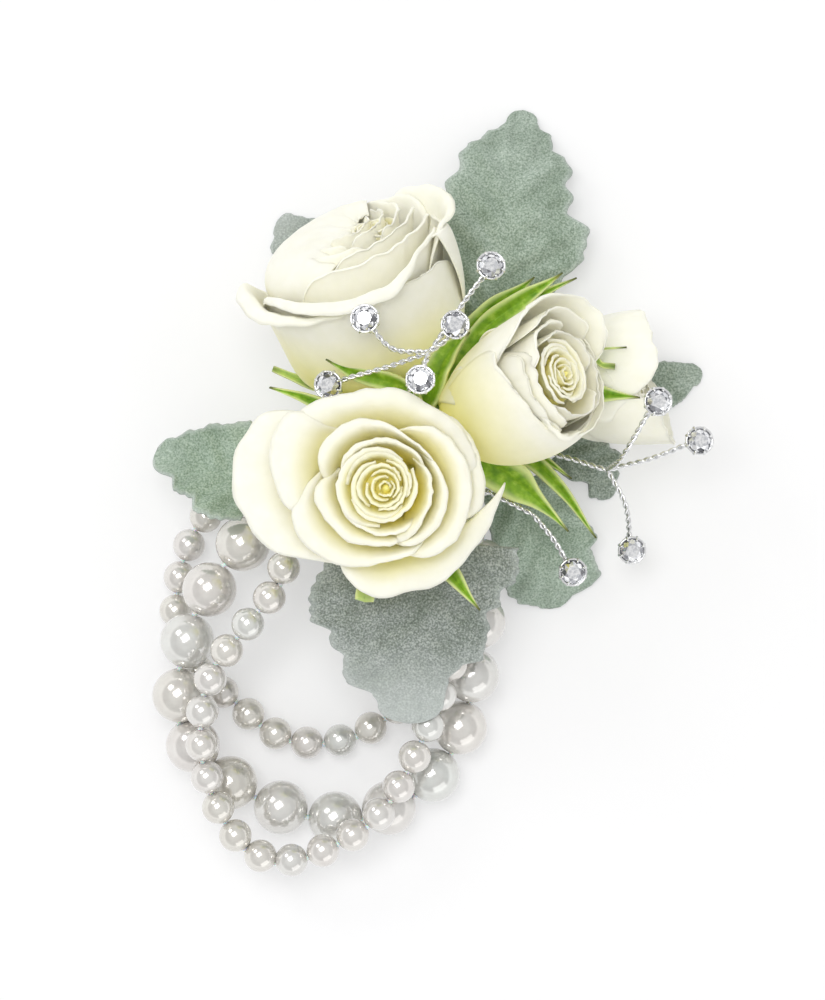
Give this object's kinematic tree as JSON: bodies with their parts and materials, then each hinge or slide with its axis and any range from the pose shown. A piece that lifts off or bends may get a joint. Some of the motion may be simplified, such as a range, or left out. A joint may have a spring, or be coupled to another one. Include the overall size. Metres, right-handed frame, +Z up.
{
  "type": "wrist corsage",
  "caption": "Wrist corsage of white roses, silvery lobed leaves and rhinestone wire sprays on a small metal plate, worn on looped strands of elastic-strung pearls.",
  "frame": {"origin": "the middle of the wristlet plate's wrist face", "axes": "lying face up on a table as pictured: +X to the right along the plate, +Y from the wrist loops towards the flowers, +Z up from the table; the wrist face looks to -Y"},
  "size_m": [0.1021, 0.1408, 0.0508],
  "materials": {
    "plate": "plain plated sheet metal",
    "tape": "stretched floral tape, waxy",
    "elastic": "clear-white elastic cord",
    "pearl": "pearlescent coating",
    "leaf": "grey felted leaf",
    "rhinestone": "faceted clear stone with a silvered back",
    "wire": "bright twisted wire and gem cups",
    "calyx": "fresh green sepals and stem",
    "rose_heart": "soft folded petals, yellow in the folds",
    "petal": "soft creamy white petal"
  },
  "bodies": {
    "bouquet": {"wristlet_plate": "plate", "rose_front_calyx": "calyx", "rose_front_heart": "rose_heart", "rose_front_petal_1": "petal", "rose_front_petal_2": "petal", "rose_front_petal_3": "petal", "rose_front_petal_4": "petal", "rose_front_petal_5": "petal", "rose_left_calyx": "calyx", "rose_left_heart": "rose_heart", "rose_left_petal_1": "petal", "rose_left_petal_2": "petal", "rose_left_petal_3": "petal", "rose_left_petal_4": "petal", "rose_right_calyx": "calyx", "rose_right_heart": "rose_heart", "rose_right_petal_1": "petal", "rose_right_petal_2": "petal", "rose_right_petal_3": "petal", "rose_rear_calyx": "calyx", "rose_rear_heart": "rose_heart", "rose_rear_petal_1": "petal", "leaf_top": "leaf", "leaf_left": "leaf", "leaf_low_right": "leaf", "leaf_under": "leaf", "leaf_right": "leaf", "leaf_upper_left": "leaf", "stem_bundle": "tape"},
    "strand_middle": {"cord_middle": "elastic", "pearl_large_01": "pearl", "pearl_large_02": "pearl", "pearl_large_03": "pearl", "pearl_large_04": "pearl", "pearl_large_05": "pearl", "pearl_large_06": "pearl", "pearl_large_07": "pearl", "pearl_large_08": "pearl", "pearl_large_09": "pearl", "pearl_large_10": "pearl", "pearl_large_11": "pearl", "pearl_large_12": "pearl", "pearl_large_13": "pearl", "pearl_large_14": "pearl", "pearl_large_15": "pearl"},
    "strand_front": {"pearl_string_front": "pearl"},
    "strand_back": {"pearl_string_back": "pearl"},
    "leaf_low": {"leaf_low": "leaf"},
    "spray_left": {"gem_left_1": "rhinestone", "gem_left_2": "rhinestone", "gem_left_3": "rhinestone", "gem_left_4": "rhinestone", "gem_left_5": "rhinestone", "spray_wire_left": "wire"},
    "spray_right": {"gem_right_1": "rhinestone", "gem_right_2": "rhinestone", "gem_right_3": "rhinestone", "spray_wire_right": "wire"},
    "spray_low": {"gem_low_1": "rhinestone", "spray_wire_low": "wire"}
  },
  "joints": [
    {"name": "strand_middle_swing", "type": "hinge", "parent": "bouquet", "child": "strand_middle", "pos_m": [0, 0.0016, 0], "axis": [-1, 0, 0], "range_deg": [0, 20]},
    {"name": "strand_front_swing", "type": "hinge", "parent": "bouquet", "child": "strand_front", "pos_m": [0, 0.0016, 0.0083], "axis": [-1, 0, 0], "range_deg": [0, 30]},
    {"name": "strand_back_swing", "type": "hinge", "parent": "bouquet", "child": "strand_back", "pos_m": [0, 0.0016, -0.0083], "axis": [-1, 0, 0], "range_deg": [0, 8]},
    {"name": "leaf_low_lift", "type": "hinge", "parent": "bouquet", "child": "leaf_low", "pos_m": [0.0096, -0.001, 0.0134], "axis": [-1, 0, 0], "range_deg": [0, 35]},
    {"name": "spray_left_bend", "type": "hinge", "parent": "bouquet", "child": "spray_left", "pos_m": [0.0056, 0.0194, 0.018], "axis": [1, 0, 0], "range_deg": [0, 15]},
    {"name": "spray_right_bend", "type": "hinge", "parent": "bouquet", "child": "spray_right", "pos_m": [0.031, 0.0092, -0.0006], "axis": [0, -1, 0], "range_deg": [0, 12]},
    {"name": "spray_low_bend", "type": "hinge", "parent": "bouquet", "child": "spray_low", "pos_m": [0.019, 0.003, 0.0065], "axis": [-0.6712, -0.7413, 0], "range_deg": [0, 20]}
  ],
  "couplings": [
    {"joint": "strand_front_swing", "follows": "strand_middle_swing", "ratio": 1.5},
    {"joint": "leaf_low_lift", "follows": "strand_middle_swing", "ratio": 1.75},
    {"joint": "strand_back_swing", "follows": "strand_middle_swing", "ratio": 0.4}
  ]
}
